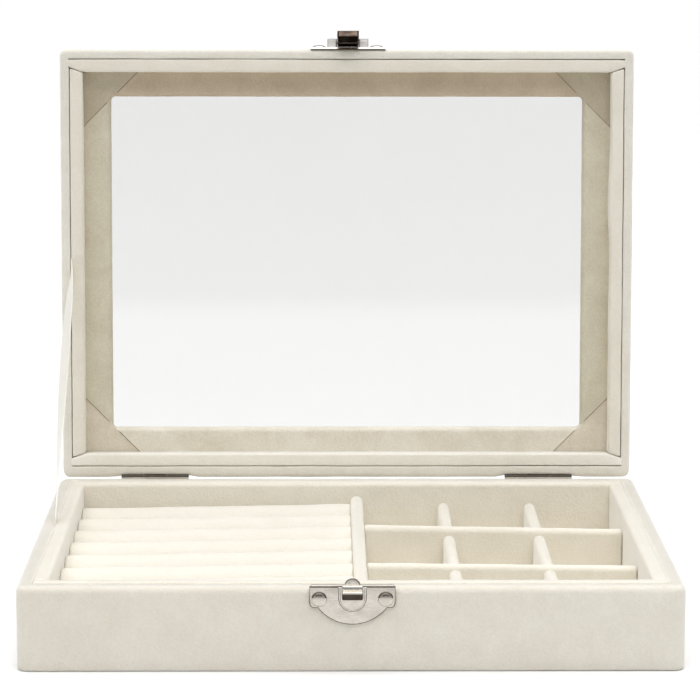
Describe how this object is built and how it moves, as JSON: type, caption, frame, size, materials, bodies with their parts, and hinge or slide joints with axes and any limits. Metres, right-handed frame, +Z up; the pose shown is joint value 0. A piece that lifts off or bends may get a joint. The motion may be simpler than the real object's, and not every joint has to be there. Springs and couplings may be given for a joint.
{
  "type": "ring display box",
  "caption": "Low rectangular velvet display box with ring rolls, divided compartments and a hinged glazed lid held open by a ribbon stay and shut by a snap hasp.",
  "frame": {"origin": "centre of the flat underside of the base", "axes": "+X along the width, to the right as seen from the catch side; +Y to the back where the hinges are; +Z up"},
  "size_m": [0.2, 0.1785, 0.181],
  "materials": {
    "floor_board": "raw fibreboard",
    "wall_board": "raw fibreboard",
    "outer_velvet": "short cream pile",
    "underside_cloth": "plain cloth",
    "lining_velvet": "short cream pile over thin padding",
    "roll_velvet": "ivory pile",
    "foam": "open-cell foam",
    "card": "grey board",
    "border_velvet": "short cream pile, flat",
    "patch_velvet": "short cream pile, flat",
    "glass": "clear, polished edges",
    "catch_metal": "bright nickel plate",
    "hasp_metal": "dark bronze inside, nickel outside",
    "hinge_metal": "satin nickel",
    "ribbon": "satin"
  },
  "bodies": {
    "base": {"base_floor_board": "floor_board", "base_front_board": "wall_board", "base_back_board": "wall_board", "base_left_board": "wall_board", "base_right_board": "wall_board", "base_outer_velvet": "outer_velvet", "base_underside_cover": "underside_cloth", "base_lining_front": "lining_velvet", "base_lining_back": "lining_velvet", "base_lining_left": "lining_velvet", "base_lining_right": "lining_velvet", "ring_roll_card": "card", "ring_roll_foam_cores": "foam", "ring_roll_1": "roll_velvet", "ring_roll_2": "roll_velvet", "ring_roll_3": "roll_velvet", "ring_roll_4": "roll_velvet", "ring_roll_5": "roll_velvet", "ring_roll_6": "roll_velvet", "ring_roll_7": "roll_velvet", "ring_roll_8": "roll_velvet", "main_divider": "lining_velvet", "main_divider_card": "card", "cross_divider_rear": "lining_velvet", "cross_divider_front": "lining_velvet", "long_divider_left": "lining_velvet", "long_divider_right": "lining_velvet", "grid_divider_cards": "card", "compartment_floor_pad": "lining_velvet", "catch_plate": "catch_metal", "catch_nose": "catch_metal", "catch_nails": "catch_metal", "hinge_base_leaf_left": "hinge_metal", "hinge_base_leaf_right": "hinge_metal", "hinge_pins": "hinge_metal", "ribbon_stay": "ribbon"},
    "lid": {"lid_front_board": "wall_board", "lid_back_board": "wall_board", "lid_left_board": "wall_board", "lid_right_board": "wall_board", "lid_top_frame_board": "card", "lid_outer_velvet": "outer_velvet", "lid_lining_front": "lining_velvet", "lid_lining_back": "lining_velvet", "lid_lining_left": "lining_velvet", "lid_lining_right": "lining_velvet", "window_border_board": "card", "window_border_long_strips": "border_velvet", "window_border_short_strips": "border_velvet", "window_corner_patches": "patch_velvet", "lid_glass": "glass", "glass_spacer_frame": "card", "hinge_lid_leaf_left": "hinge_metal", "hinge_lid_leaf_right": "hinge_metal", "hasp_plate": "catch_metal", "hasp_nails": "catch_metal", "hasp_pin": "catch_metal"},
    "hasp": {"swinging_hasp": "hasp_metal"}
  },
  "joints": [
    {"name": "lid_hinge", "type": "hinge", "parent": "base", "child": "lid", "pos_m": [0, 0.0744, 0.02635], "axis": [1, 0, 0], "range_deg": [0, 94.4], "deforming": ["ribbon_stay"]},
    {"name": "hasp_swing", "type": "hinge", "parent": "lid", "child": "hasp", "pos_m": [0.0003, 0.09238, 0.17596], "axis": [-1, 0, 0], "range_deg": [0, 90]}
  ]
}
